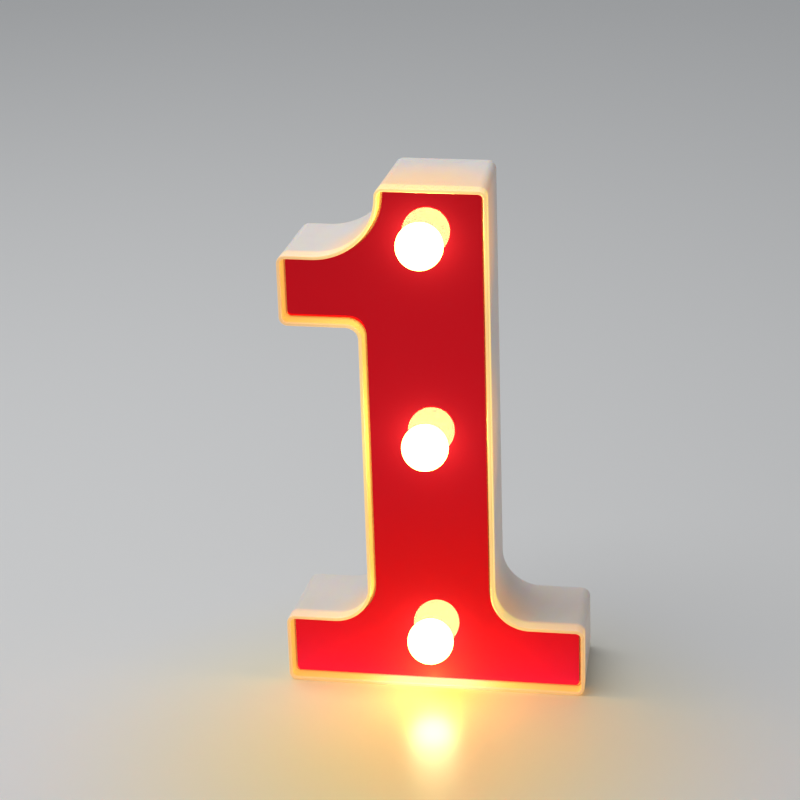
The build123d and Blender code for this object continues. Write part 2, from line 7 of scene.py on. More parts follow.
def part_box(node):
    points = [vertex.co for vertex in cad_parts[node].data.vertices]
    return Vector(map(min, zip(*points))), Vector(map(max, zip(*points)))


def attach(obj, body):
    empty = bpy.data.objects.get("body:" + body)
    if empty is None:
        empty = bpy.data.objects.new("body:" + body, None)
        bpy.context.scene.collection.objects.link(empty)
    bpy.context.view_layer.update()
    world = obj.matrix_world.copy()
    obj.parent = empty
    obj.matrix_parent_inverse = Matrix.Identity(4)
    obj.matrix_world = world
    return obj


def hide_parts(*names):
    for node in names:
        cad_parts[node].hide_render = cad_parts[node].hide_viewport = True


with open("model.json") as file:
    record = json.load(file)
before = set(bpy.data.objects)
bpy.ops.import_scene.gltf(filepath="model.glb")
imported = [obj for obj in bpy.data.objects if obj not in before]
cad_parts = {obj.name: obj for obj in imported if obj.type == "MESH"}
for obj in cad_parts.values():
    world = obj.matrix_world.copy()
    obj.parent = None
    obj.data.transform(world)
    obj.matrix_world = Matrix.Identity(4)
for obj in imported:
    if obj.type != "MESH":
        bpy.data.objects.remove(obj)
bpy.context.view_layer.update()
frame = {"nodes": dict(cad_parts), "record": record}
nodes = frame["nodes"]
print("frame loaded:", len(nodes), "nodes")


def deselectAll():
    if bpy.context.object and bpy.context.object.mode != "OBJECT":
        bpy.ops.object.mode_set(mode="OBJECT")
    bpy.ops.object.select_all(action="DESELECT")


# Camera, set to the angle from which the photograph was taken
cameraLook = {
    "azimuth": 10.27,  # degrees, as are the next two
    "elevation": 24.25,
    "roll": -1.87,
    "distance": 1.1315,
    "lookAt": (-0.01008, -0.0215, 0.13088),
    "focalPixels": 2845,
    "framePixels": 800,
    "sensor": 36.0,
    "clipNear": 0.01,
    "clipFar": 50,
}


def placeCamera(look):
    turn, rise = radians(look["azimuth"]), radians(look["elevation"])
    back = Vector((sin(turn) * cos(rise), -cos(turn) * cos(rise), sin(rise)))
    right = Vector((cos(turn), sin(turn), 0))
    up = back.cross(right)
    tilt = radians(look["roll"])
    tiltedRight = right * cos(tilt) + up * sin(tilt)
    tiltedUp = up * cos(tilt) - right * sin(tilt)
    deselectAll()
    bpy.ops.object.camera_add()
    camera = bpy.context.object
    camera.name = "photo_camera"
    camera.data.sensor_width = look["sensor"]
    camera.data.lens = look["sensor"] * look["focalPixels"] / look["framePixels"]
    camera.data.clip_start = look["clipNear"]
    camera.data.clip_end = look["clipFar"]
    axes = Matrix((tiltedRight, tiltedUp, back)).transposed().to_4x4()
    axes.translation = Vector(look["lookAt"]) + back * look["distance"]
    camera.matrix_world = axes
    bpy.context.scene.camera = camera


placeCamera(cameraLook)
print("camera placed")


# How noise becomes soft patches of colour and a worn gloss, in every finish
noiseLook = {
    "detail": 2.0,
    "roughness": 0.5,
    "patchDetail": 3.0,
    "patchRange": (0.35, 0.65),
    "grainRoughness": 0.6,
    "wornRange": (0.3, 0.7),
}


# Node helpers for the materials
class Finish:
    def __init__(self, name):
        self.material = bpy.data.materials.new(name)
        self.material.use_nodes = True
        self.tree = self.material.node_tree
        self.shader = self.tree.nodes["Principled BSDF"]

    def set(self, socket, value):
        if isinstance(value, bpy.types.NodeSocket):
            self.tree.links.new(value, socket)
        else:
            socket.default_value = value

    def fill(self, node, sockets):
        # Socket names are written with _ for each space
        for key, value in sockets.items():
            self.set(node.inputs[key.replace("_", " ")], value)

    def skin(self, **sockets):
        self.fill(self.shader, sockets)

    def add(self, kind, settings=None, **sockets):
        node = self.tree.nodes.new(kind)
        for key, value in (settings or {}).items():
            setattr(node, key, value)
        self.fill(node, sockets)
        return node

    def place(self):
        return self.add("ShaderNodeTexCoord").outputs["Object"]

    def splitPlace(self):
        return self.add("ShaderNodeSeparateXYZ", Vector=self.place()).outputs

    def splitNormal(self):
        normal = self.add("ShaderNodeNewGeometry").outputs["Normal"]
        return self.add("ShaderNodeSeparateXYZ", Vector=normal).outputs

    def math(self, operation, *values):
        node = self.add("ShaderNodeMath", {"operation": operation})
        for socket, value in zip(node.inputs, values):
            self.set(socket, value)
        return node.outputs[0]

    def times(self, first, second):
        return self.math("MULTIPLY", first, second)

    def spread(self, value, low, high, newLow, newHigh, smooth=False):
        node = self.add("ShaderNodeMapRange", {"interpolation_type": "SMOOTHSTEP" if smooth else "LINEAR"},
                        Value=value, From_Min=low, From_Max=high, To_Min=newLow, To_Max=newHigh)
        return node.outputs[0]

    def rise(self, value, low, high):
        # 0 up to low, 1 from high on, and a soft slope between them
        return self.spread(value, low, high, 0.0, 1.0, True)

    def fade(self, value, low, high):
        return self.spread(value, low, high, 1.0, 0.0, True)

    def blend(self, share, low, high):
        # A number that goes from low to high as the share goes from 0 to 1
        return self.spread(share, 0.0, 1.0, low, high)

    def mixColour(self, share, first, second):
        # A Mix node's colours are its sockets 6 and 7, and its mixed colour is output 2
        node = self.add("ShaderNodeMix", {"data_type": "RGBA"})
        for socket, value in zip((node.inputs[0], node.inputs[6], node.inputs[7]), (share, first, second)):
            self.set(socket, value)
        return node.outputs[2]

    def noise(self, scale, detail=noiseLook["detail"], roughness=noiseLook["roughness"]):
        node = self.add("ShaderNodeTexNoise", Scale=scale, Detail=detail, Roughness=roughness,
                        Vector=self.place())
        return node.outputs["Fac"]

    def grain(self, scale, detail=noiseLook["detail"]):
        return self.noise(scale, detail, noiseLook["grainRoughness"])

    def patches(self, scale, first, second):
        # Two near colours in soft patches
        mottle = self.noise(scale, noiseLook["patchDetail"])
        return self.mixColour(self.rise(mottle, *noiseLook["patchRange"]), first, second)

    def worn(self, grain, smoothest, roughest):
        return self.spread(grain, *noiseLook["wornRange"], smoothest, roughest)

    def bump(self, height, strength, distance):
        node = self.add("ShaderNodeBump", Strength=strength, Distance=distance, Height=height)
        return node.outputs["Normal"]

    def fromPoint(self, point):
        node = self.add("ShaderNodeVectorMath", {"operation": "DISTANCE"})
        self.set(node.inputs[0], self.place())
        self.set(node.inputs[1], point)
        return node.outputs["Value"]

    def fall(self, distance, reach):
        # Fades to about a third with each reach
        return self.math("EXPONENT", self.math("DIVIDE", distance, -reach))

    def sumLights(self, *pairs):
        # Colours added up, each times its own strength
        total = (0.0, 0.0, 0.0)
        for colour, strength in pairs:
            scaled = self.add("ShaderNodeVectorMath", {"operation": "SCALE"}, Scale=strength)
            self.set(scaled.inputs[0], colour[:3])
            joined = self.add("ShaderNodeVectorMath", {"operation": "ADD"})
            self.set(joined.inputs[0], total)
            self.set(joined.inputs[1], scaled.outputs[0])
            total = joined.outputs[0]
        return total


def solid(red, green, blue):
    return (red, green, blue, 1.0)


# Where the lamps, the sheet and the plate are, read from the frame
ballCentres = []
for name in ("top", "middle", "bottom"):
    low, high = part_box(f"bulb_{name}")
    ballRadius = (high.x - low.x) / 2
    ballCentres.append(Vector(((low.x + high.x) / 2, low.y + ballRadius, (low.z + high.z) / 2)))
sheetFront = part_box("face_panel")[0].y
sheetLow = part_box("face_panel")[0].z
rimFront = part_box("housing")[0].y
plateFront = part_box("front_plate")[0].y
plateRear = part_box("front_plate")[1].y


def lampDistances(finish):
    return [finish.fromPoint(centre) for centre in ballCentres]


def lampFall(finish, reach, start=0.0):
    # Light that fades with the distance from each lamp, all lamps together
    total = 0.0
    for distance in lampDistances(finish):
        past = finish.math("SUBTRACT", distance, start)
        total = finish.math("ADD", total, finish.fall(past, reach))
    return total


def nearestLamp(finish):
    top, middle, bottom = lampDistances(finish)
    return finish.math("MINIMUM", finish.math("MINIMUM", top, middle), bottom)


# Tray and door: white translucent plastic. Where the lamps would shine through it, the glow is painted: an
# emission set by the place, and a tan tint in the base colour.
# The band is the strip in front of the plate, and the body is the wall behind it
trayLook = {
    "white": solid(0.80, 0.785, 0.765),
    "shade": solid(0.77, 0.75, 0.725),
    "paintedGlowBase": solid(0.80, 0.68, 0.50),
    "scatterDepth": 0.0018,
    "scatterColour": (1.0, 0.72, 0.42),
    "bandGlow": 0.52,
    "bandOnTop": 0.42,
    "bandColour": solid(1.0, 0.42, 0.05),
    "bandNearLamp": solid(1.0, 0.70, 0.06),
    "bandPastPlate": 0.001,
    "bandReach": 0.028,
    "bandNearShare": 0.72,
    "nearFrom": 0.05,
    "nearTo": 0.45,
    "topFrom": 0.2,
    "topTo": 0.9,
    "bodyGlow": 0.30,
    "bodyColour": solid(1.0, 0.36, 0.02),
    "bodyFrom": 0.024,
    "bodyTo": 0.050,
    "bodyRest": 0.045,
    "fadeFrom": 0.009,
    "fadeTo": 0.0203,
    "fadeRest": 0.25,
    "mottleScale": 28.0,
    "waveScale": 60.0,
    "waveHeight": 0.35,
    "grainScale": 1900.0,
    "grainHeight": 0.10,
    "smoothest": 0.34,
    "roughest": 0.46,
    "bumpStrength": 0.25,
    "bumpDistance": 0.0002,
}


def makeTrayFinish(name, look):
    finish = Finish(name)
    depth = finish.splitPlace()["Y"]
    up = finish.splitNormal()["Z"]
    near = lampFall(finish, look["bandReach"])
    # the band's painted glow, which shows less on faces that look up
    band = finish.fade(depth, sheetFront, plateRear + look["bandPastPlate"])
    upward = finish.spread(up, look["topFrom"], look["topTo"], 1.0, look["bandOnTop"], True)
    farGlow = finish.times(upward, look["bandGlow"])
    bandGlow = finish.times(band, finish.math("MULTIPLY_ADD", near, look["bandNearShare"], farGlow))
    nearShare = finish.rise(near, look["nearFrom"], look["nearTo"])
    bandColour = finish.mixColour(nearShare, look["bandColour"], look["bandNearLamp"])
    # the body's painted glow, beside each lamp and less to the back, and faint everywhere else
    toBack = finish.spread(depth, look["fadeFrom"], look["fadeTo"], 1.0, look["fadeRest"], True)
    body = finish.times(finish.fade(nearestLamp(finish), look["bodyFrom"], look["bodyTo"]), toBack)
    bodyGlow = finish.math("MULTIPLY_ADD", body, look["bodyGlow"], look["bodyRest"])
    # painted glow tint: the base colour goes tan where the painted glow is
    paintedGlowShare = finish.math("MAXIMUM", body, finish.times(band, upward))
    white = finish.patches(look["mottleScale"], look["white"], look["shade"])
    grain = finish.grain(look["grainScale"])
    waves = finish.noise(look["waveScale"])
    height = finish.math("MULTIPLY_ADD", waves, look["waveHeight"], finish.times(grain, look["grainHeight"]))
    finish.skin(
        Base_Color=finish.mixColour(paintedGlowShare, white, look["paintedGlowBase"]),
        Roughness=finish.worn(grain, look["smoothest"], look["roughest"]),
        Subsurface_Weight=1.0,
        Subsurface_Radius=look["scatterColour"],
        Subsurface_Scale=look["scatterDepth"],
        Emission_Color=finish.mixColour(band, look["bodyColour"], bandColour),
        Emission_Strength=finish.math("MAXIMUM", bandGlow, bodyGlow),
        Normal=finish.bump(height, look["bumpStrength"], look["bumpDistance"]),
    )
    return finish.material


# Rim, the walls in front of the sheet, and the strip of plate round it: painted lamp light, as a yellow and
# pink tint in the base colour and a glow that grows near each lamp
litWallLook = {
    "paintedLitAmber": solid(0.84, 0.52, 0.15),
    "paintedLitPeach": solid(0.84, 0.64, 0.43),
    "glowFar": solid(1.0, 0.48, 0.10),
    "glowNear": solid(1.0, 0.66, 0.13),
    "glow": 0.50,
    "lampShare": 0.8,
    "reach": 0.028,
    "nearFrom": 0.08,
    "nearTo": 0.5,
    "rimShare": 0.72,
    "rimFrom": 0.0003,  # behind the foremost edge
    "rimTo": 0.0016,
    "paintedSeamShade": solid(0.12, 0.002, 0.001),
    "paintedSeamGlow": solid(0.80, 0.01, 0.01),
    "seamStrength": 0.12,
    "seamReach": 0.0010,
    "seamSamples": 8,
    "seamShut": 0.54,
    "seamOpen": 0.80,
    "paintedHotSpot": solid(1.0, 0.86, 0.46),
    "hotFrom": 0.010,
    "hotTo": 0.034,
    "cloudScale": 40.0,
    "cloudGlow": (0.94, 1.06),
    "grainScale": 1900.0,
    "smoothest": 0.32,
    "roughest": 0.42,
    "bumpStrength": 0.15,
    "bumpDistance": 0.0001,
    "facing": 0.5,
    "probeStep": 0.003,
}


def makeLitWallFinish(name, look, seamed=False):
    finish = Finish(name)
    depth = finish.splitPlace()["Y"]
    atRim = finish.fade(depth, rimFront + look["rimFrom"], rimFront + look["rimTo"])
    wall = finish.mixColour(atRim, look["paintedLitAmber"], look["paintedLitPeach"])
    near = lampFall(finish, look["reach"])
    cloud = finish.worn(finish.noise(look["cloudScale"]), *look["cloudGlow"])
    glow = finish.times(finish.math("MULTIPLY_ADD", near, look["lampShare"], look["glow"]), cloud)
    glow = finish.times(glow, finish.blend(atRim, 1.0, look["rimShare"]))
    nearShare = finish.rise(near, look["nearFrom"], look["nearTo"])
    light = finish.mixColour(nearShare, look["glowFar"], look["glowNear"])
    # a painted bright spot at the foot, right under the lowest lamp
    underLamp = finish.fromPoint((0.0, rimFront, 0.0))
    light = finish.mixColour(finish.fade(underLamp, look["hotFrom"], look["hotTo"]), light, look["paintedHotSpot"])
    if seamed:
        # painted shade: dark red along the sheet's cut edge, where an occlusion test finds the walls close,
        # with a dim painted red glow
        edgeOcclusion = finish.add("ShaderNodeAmbientOcclusion", {"samples": look["seamSamples"]},
                            Distance=look["seamReach"])
        clear = finish.rise(edgeOcclusion.outputs["AO"], look["seamShut"], look["seamOpen"])
        wall = finish.mixColour(clear, look["paintedSeamShade"], wall)
        light = finish.mixColour(clear, look["paintedSeamGlow"], light)
        glow = finish.blend(clear, look["seamStrength"], glow)
    grain = finish.grain(look["grainScale"])
    finish.skin(
        Base_Color=wall,
        Roughness=finish.worn(grain, look["smoothest"], look["roughest"]),
        Emission_Color=light,
        Emission_Strength=glow,
        Normal=finish.bump(grain, look["bumpStrength"], look["bumpDistance"]),
    )
    return finish.material


def lightWalls(tray, sheet, litWall, look):
    # The tray's faces before the plate that look to the front or in over the sheet get the finish with the
    # painted glow
    tray.data.materials.append(litWall)
    for face in tray.data.polygons:
        if face.center.y > plateFront or face.normal.y > look["facing"]:
            continue
        inside = face.center + face.normal * look["probeStep"]
        inside.y = rimFront
        overSheet = sheet.ray_cast(inside, Vector((0, 1, 0)))[0]
        if overSheet or face.normal.y < -look["facing"]:
            face.material_index = 1


# Sheet: red mirror acrylic with a clear gloss face, painted glow round each lamp and low on the sheet, and a
# few specks
sheetLook = {
    "tint": solid(0.95, 0.0040, 0.015),
    "cutEdge": solid(0.30, 0.004, 0.004),
    "facing": -0.7,
    "gloss": 0.15,
    "glossRoughness": 0.015,
    "glossIor": 1.49,
    "smoothest": 0.012,
    "rippleScale": 22.0,
    "bumpStrength": 0.05,
    "bumpDistance": 0.0002,
    "speck": solid(0.9, 0.25, 0.25),
    "speckScale": 262.0,
    "speckSize": 0.08,
    "speckShare": 0.45,
    "speckRoughness": 0.3,
    "speckless": 0.988,  # share of the places that have none
    "paintedHalo": solid(1.0, 0.035, 0.035),
    "haloStart": 0.0125,
    "haloStrength": 0.50,
    "haloReach": 0.0043,
    "paintedWideHalo": 0.07,
    "wideReach": 0.020,
    "paintedFootGlow": solid(1.0, 0.30, 0.05),
    "footGlowStrength": 0.60,
    "footGlowReach": 0.0075,
    "paintedLowGlow": solid(1.0, 0.03, 0.13),
    "lowGlowStrength": 0.24,
    "lowGlowReach": 0.014,
}


def makeSpecks(finish, look):
    specks = finish.add("ShaderNodeTexVoronoi", Scale=look["speckScale"], Vector=finish.place())
    lottery = finish.add("ShaderNodeTexWhiteNoise", Vector=specks.outputs["Position"])
    chosen = finish.math("GREATER_THAN", lottery.outputs["Value"], look["speckless"])
    return finish.times(finish.math("LESS_THAN", specks.outputs["Distance"], look["speckSize"]), chosen)


# Painted glow on the sheet's front, set by the place: a halo round each lamp and the lit floor's light
def makeSheetGlow(finish, look):
    close = finish.times(lampFall(finish, look["haloReach"], look["haloStart"]), look["haloStrength"])
    wide = finish.times(lampFall(finish, look["wideReach"], look["haloStart"]), look["paintedWideHalo"])
    # painted reflection of the lit floor, low on the sheet: orange under the lowest lamp and red along the
    # bottom
    underLamp = finish.fromPoint((0.0, sheetFront, sheetLow))
    foot = finish.times(finish.fall(underLamp, look["footGlowReach"]), look["footGlowStrength"])
    height = finish.math("SUBTRACT", finish.splitPlace()["Z"], sheetLow)
    lowest = finish.times(finish.fall(height, look["lowGlowReach"]), look["lowGlowStrength"])
    return finish.sumLights((look["paintedHalo"], finish.math("ADD", close, wide)),
                            (look["paintedFootGlow"], foot), (look["paintedLowGlow"], lowest))


def makeSheetFinish(look):
    finish = Finish("red_mirror")
    face = finish.math("LESS_THAN", finish.splitNormal()["Y"], look["facing"])  # 1 on the front only
    dust = makeSpecks(finish, look)
    colour = finish.mixColour(finish.times(dust, look["speckShare"]), look["tint"], look["speck"])
    ripple = finish.noise(look["rippleScale"])
    finish.skin(
        Base_Color=finish.mixColour(face, look["cutEdge"], colour),
        Metallic=face,
        Roughness=finish.blend(dust, look["smoothest"], look["speckRoughness"]),
        Coat_Weight=look["gloss"],
        Coat_Roughness=look["glossRoughness"],
        Coat_IOR=look["glossIor"],
        Emission_Color=makeSheetGlow(finish, look),
        Emission_Strength=face,
        Normal=finish.bump(ripple, look["bumpStrength"], look["bumpDistance"]),
    )
    return finish.material


# Lamps: frosted balls with the light on. A mirror or gloss ray sees them stronger than the
# camera does, as real lamps are brighter than a picture's white
ballLook = {
    "frost": solid(0.86, 0.82, 0.74),
    "light": solid(1.0, 0.60, 0.12),
    "strength": 13.0,
    "glare": solid(1.0, 0.90, 0.16),
    "glareStrength": 100.0,
    "glareNear": 0.020,
    "farGlare": solid(1.0, 0.82, 0.42),
    "farStrength": 26.0,
    "glareFar": 0.045,
    "firstBounce": 0.5,
    "frostScale": 900.0,
    "frostDetail": 3.0,
    "smoothest": 0.5,
    "roughest": 0.7,
    "bumpStrength": 0.2,
    "bumpDistance": 0.0001,
}


def makeBallFinish(look):
    finish = Finish("lit_ball")
    path = finish.add("ShaderNodeLightPath")
    direct = finish.math("LESS_THAN", path.outputs["Diffuse Depth"], look["firstBounce"])
    mirrored = finish.times(path.outputs["Is Glossy Ray"], direct)
    far = finish.spread(path.outputs["Ray Length"], look["glareNear"], look["glareFar"], 0.0, 1.0)
    glare = finish.mixColour(far, look["glare"], look["farGlare"])
    glareStrength = finish.blend(far, look["glareStrength"], look["farStrength"])
    frosting = finish.noise(look["frostScale"], look["frostDetail"])
    finish.skin(
        Base_Color=look["frost"],
        Roughness=finish.worn(frosting, look["smoothest"], look["roughest"]),
        Emission_Color=finish.mixColour(mirrored, look["light"], glare),
        Emission_Strength=finish.blend(mirrored, look["strength"], glareStrength),
        Normal=finish.bump(frosting, look["bumpStrength"], look["bumpDistance"]),
    )
    return finish.material


# Plain plastics: each slot's material name, its two near colours and its roughness
plasticLook = {
    "mottleScale": 35.0,
    "grainScale": 1500.0,
    "smoother": 0.06,
    "rougher": 0.08,
    "bumpStrength": 0.2,
    "bumpDistance": 0.0001,
}
plasticSlots = {
    "film_clear": ("film", solid(0.74, 0.73, 0.66), solid(0.70, 0.68, 0.60), 0.3),
    "collar_white": ("collar_plastic", solid(0.72, 0.72, 0.70), solid(0.68, 0.67, 0.65), 0.5),
    "board_green": ("board_mask", solid(0.02, 0.16, 0.06), solid(0.03, 0.20, 0.08), 0.3),
    "led_yellow": ("led_epoxy", solid(0.90, 0.70, 0.28), solid(0.86, 0.62, 0.2), 0.12),
    "knob_black": ("knob_plastic", solid(0.012, 0.012, 0.013), solid(0.02, 0.02, 0.021), 0.42),
    "wire_red": ("red_sleeve", solid(0.46, 0.015, 0.012), solid(0.40, 0.012, 0.01), 0.35),
    "wire_black": ("black_sleeve", solid(0.014, 0.014, 0.015), solid(0.02, 0.02, 0.021), 0.38),
}


def makePlainPlastic(look, name, light, dark, roughness):
    finish = Finish(name)
    grain = finish.grain(look["grainScale"])
    finish.skin(
        Base_Color=finish.patches(look["mottleScale"], light, dark),
        Roughness=finish.worn(grain, roughness - look["smoother"], roughness + look["rougher"]),
        Normal=finish.bump(grain, look["bumpStrength"], look["bumpDistance"]),
    )
    return finish.material


# Bare metals: each slot's material name, its two near colours, its roughness and its cloud's scale
metalLook = {
    "cloudDetail": 4.0,
    "cloudRange": (0.3, 0.7),
    "grainPerCloud": 12,
    "smoother": 0.07,
    "rougher": 0.1,
    "bumpStrength": 0.12,
    "bumpDistance": 0.00005,
}
metalSlots = {
    "screw_zinc": ("zinc", solid(0.62, 0.63, 0.64), solid(0.52, 0.53, 0.55), 0.32, 300.0),
    "contact_steel": ("nickel", solid(0.66, 0.65, 0.62), solid(0.58, 0.56, 0.52), 0.24, 260.0),
    "switch_steel": ("switch_shell", solid(0.60, 0.60, 0.58), solid(0.5, 0.5, 0.49), 0.34, 280.0),
}


def makeMetal(look, name, light, dark, roughness, scale):
    finish = Finish(name)
    cloud = finish.noise(scale, look["cloudDetail"])
    grain = finish.noise(scale * look["grainPerCloud"])
    finish.skin(
        Base_Color=finish.mixColour(finish.rise(cloud, *look["cloudRange"]), light, dark),
        Metallic=1.0,
        Roughness=finish.worn(grain, roughness - look["smoother"], roughness + look["rougher"]),
        Normal=finish.bump(grain, look["bumpStrength"], look["bumpDistance"]),
    )
    return finish.material


# Cells: a dark film sleeve with a plain pale band at the end that has the nub
cellLook = {
    "film": solid(0.02, 0.026, 0.04),
    "filmShade": solid(0.03, 0.036, 0.05),
    "band": solid(0.50, 0.50, 0.47),
    "bandLength": 0.0150,
    "bandMetallic": 0.6,
    "lineFrom": 0.0162,
    "lineTo": 0.0169,
    "mottleScale": 60.0,
    "scuffScale": 700.0,
    "scuffDetail": 3.0,
    "smoothest": 0.22,
    "roughest": 0.34,
    "bumpStrength": 0.1,
    "bumpDistance": 0.00005,
    "sides": 48,
    "nubRise": 0.0010,
    "nubRadius": 0.00275,
    "filmWall": 0.00012,
    "filmLip": 0.0013,
    "filmSoftness": 0.00004,
    "crimpInset": 0.0015,
    "crimpWidth": 0.0005,
    "crimpDepth": 0.0005,
    "ringWidth": 0.0012,
    "softness": 0.00012,
}
cellSides = {"left": 1, "right": -1}  # which way the nub points


def nubEnd(side):
    low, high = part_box(f"battery_{side}")
    return high.z if cellSides[side] > 0 else low.z


def makeCellFinish(look):
    finish = Finish("cell_film")
    place = finish.splitPlace()
    onLeft = finish.math("LESS_THAN", place["X"], 0.0)
    fromLeft = finish.math("SUBTRACT", nubEnd("left"), place["Z"])
    fromRight = finish.math("SUBTRACT", place["Z"], nubEnd("right"))
    fromNub = finish.blend(onLeft, fromRight, fromLeft)
    band = finish.math("LESS_THAN", fromNub, look["bandLength"])
    line = finish.times(finish.math("GREATER_THAN", fromNub, look["lineFrom"]),
                        finish.math("LESS_THAN", fromNub, look["lineTo"]))
    pale = finish.math("MAXIMUM", band, line)
    film = finish.patches(look["mottleScale"], look["film"], look["filmShade"])
    scuff = finish.grain(look["scuffScale"], look["scuffDetail"])
    finish.skin(
        Base_Color=finish.mixColour(pale, film, look["band"]),
        Metallic=finish.times(pale, look["bandMetallic"]),
        Roughness=finish.worn(scuff, look["smoothest"], look["roughest"]),
        Normal=finish.bump(scuff, look["bumpStrength"], look["bumpDistance"]),
    )
    return finish.material


# Resistor: lacquered body with four colour rings, between tinned leads
resistorLook = {
    "lacquer": solid(0.62, 0.42, 0.20),
    "lacquerShade": solid(0.56, 0.37, 0.17),
    "tin": solid(0.62, 0.62, 0.60),
    "lowerLead": 0.0025,
    "length": 0.0065,
    "ringHalfShare": 0.045,
    # Each ring's place as a share of the body's length, and its paint
    "ringShares": ((0.17, solid(0.10, 0.03, 0.012)), (0.34, solid(0.012, 0.012, 0.012)),
                   (0.51, solid(0.10, 0.03, 0.012)), (0.82, solid(0.50, 0.33, 0.06))),
    "cloudScale": 500.0,
    "smoothest": 0.24,
    "roughest": 0.34,
    "bumpStrength": 0.1,
    "bumpDistance": 0.00005,
}


def makeResistorFinish(look):
    finish = Finish("resistor_lacquer")
    cloud = finish.noise(look["cloudScale"])
    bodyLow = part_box("resistor")[0].z + look["lowerLead"]
    height = finish.math("SUBTRACT", finish.splitPlace()["Z"], bodyLow)
    along = finish.math("DIVIDE", height, look["length"])  # 0 to 1 on the body
    colour = finish.mixColour(cloud, look["lacquer"], look["lacquerShade"])
    for middle, paint in look["ringShares"]:
        away = finish.math("ABSOLUTE", finish.math("SUBTRACT", along, middle))
        colour = finish.mixColour(finish.math("LESS_THAN", away, look["ringHalfShare"]), colour, paint)
    below = finish.math("LESS_THAN", along, 0.0)
    above = finish.math("GREATER_THAN", along, 1.0)
    lead = finish.math("MAXIMUM", below, above)
    finish.skin(
        Base_Color=finish.mixColour(lead, colour, look["tin"]),
        Metallic=lead,
        Roughness=finish.worn(cloud, look["smoothest"], look["roughest"]),
        Normal=finish.bump(cloud, look["bumpStrength"], look["bumpDistance"]),
    )
    return finish.material


# Every slot's finish, and the nodes that wear them
finishes = {
    "tray_white": makeTrayFinish("tray_plastic", trayLook),
    "door_white": makeTrayFinish("door_plastic", trayLook),
    "plate_white": makeLitWallFinish("plate_plastic", litWallLook, seamed=True),
    "mirror_red": makeSheetFinish(sheetLook),
    "ball_frost": makeBallFinish(ballLook),
    "cell_jacket": makeCellFinish(cellLook),
    "resistor_tan": makeResistorFinish(resistorLook),
}
for slot, values in plasticSlots.items():
    finishes[slot] = makePlainPlastic(plasticLook, *values)
for slot, values in metalSlots.items():
    finishes[slot] = makeMetal(metalLook, *values)
slotOf = {row["node"]: row["material_slot"] for row in frame["record"]["subparts"]}
for name, node in nodes.items():
    node.data.materials.clear()
    node.data.materials.append(finishes[slotOf[name]])
lightWalls(nodes["housing"], nodes["face_panel"], makeLitWallFinish("lit_wall", litWallLook), litWallLook)
print("finishes made:", len(finishes))


# Helpers for the pieces that are modelled here
meshLook = {
    "smoothAngle": 35,  # degrees
    "bevelAngle": 40,
    "bevelSteps": 2,
    "endFacing": 0.9,
    "mergeWithin": 0.000001,
}


def takeNew(name):
    piece = bpy.context.object
    piece.name = name
    piece.data.name = name
    return piece


def pickFaces(piece, wanted):
    # Leaves edit mode on, with only the wanted faces selected
    bpy.ops.object.mode_set(mode="EDIT")
    bpy.ops.mesh.select_mode(type="FACE")
    bpy.ops.mesh.select_all(action="DESELECT")
    bpy.ops.object.mode_set(mode="OBJECT")
    for face in piece.data.polygons:
        face.select = wanted(face.normal.z)
    bpy.ops.object.mode_set(mode="EDIT")


def growFace(inset, rise):
    # Draws the selected face in, then pushes it along Z
    if inset:
        bpy.ops.mesh.inset(thickness=inset, depth=0)
    if rise:
        bpy.ops.mesh.extrude_region_move(TRANSFORM_OT_translate={"value": (0, 0, rise)})


def turnFacesOut():
    bpy.ops.mesh.select_all(action="SELECT")
    bpy.ops.mesh.remove_doubles(threshold=meshLook["mergeWithin"])
    bpy.ops.mesh.normals_make_consistent(inside=False)
    bpy.ops.object.mode_set(mode="OBJECT")


def applyModifier(piece, kind, **settings):
    modifier = piece.modifiers.new(kind.title(), kind)
    for key, value in settings.items():
        setattr(modifier, key, value)
    bpy.context.view_layer.objects.active = piece
    bpy.ops.object.modifier_apply(modifier=modifier.name)


def softenEdges(piece, width):
    applyModifier(piece, "BEVEL", width=width, segments=meshLook["bevelSteps"], limit_method="ANGLE",
                  angle_limit=radians(meshLook["bevelAngle"]))


def settle(piece, body):
    # Puts a finished piece's place into its mesh and hands it to its body
    deselectAll()
    piece.select_set(True)
    bpy.context.view_layer.objects.active = piece
    bpy.ops.object.transform_apply(location=True, rotation=True, scale=True)
    bpy.ops.object.shade_smooth_by_angle(angle=radians(meshLook["smoothAngle"]))
    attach(piece, body)


# Cells with a crimped can, a nub and a shrunk film sleeve, made nub up round the middle
def makeCan(side, radius, length, look):
    deselectAll()
    bpy.ops.mesh.primitive_cylinder_add(vertices=look["sides"], radius=radius, depth=length)
    can = takeNew(f"cell_{side}")
    shoulder = radius - look["crimpInset"] - look["crimpWidth"] - look["nubRadius"]
    pickFaces(can, lambda up: up > meshLook["endFacing"])
    growFace(look["crimpInset"], -look["crimpDepth"])
    growFace(look["crimpWidth"], look["crimpDepth"])
    growFace(shoulder, look["nubRise"] + look["filmWall"])
    pickFaces(can, lambda up: up < -meshLook["endFacing"])
    growFace(look["crimpInset"], look["crimpDepth"])
    growFace(look["crimpWidth"], -look["crimpDepth"])
    growFace(look["ringWidth"], look["softness"])
    bpy.ops.object.mode_set(mode="OBJECT")
    softenEdges(can, look["softness"])
    can.data.materials.append(finishes["contact_steel"])
    return can


def makeSleeve(side, radius, length, look):
    deselectAll()
    bpy.ops.mesh.primitive_cylinder_add(vertices=look["sides"], radius=radius, depth=length)
    sleeve = takeNew(f"sleeve_{side}")
    pickFaces(sleeve, lambda up: abs(up) > meshLook["endFacing"])
    growFace(look["filmLip"], 0)
    bpy.ops.mesh.delete(type="FACE")
    bpy.ops.object.mode_set(mode="OBJECT")
    applyModifier(sleeve, "SOLIDIFY", thickness=look["filmWall"], offset=-1.0)
    softenEdges(sleeve, look["filmSoftness"])
    sleeve.data.materials.append(finishes["cell_jacket"])
    return sleeve


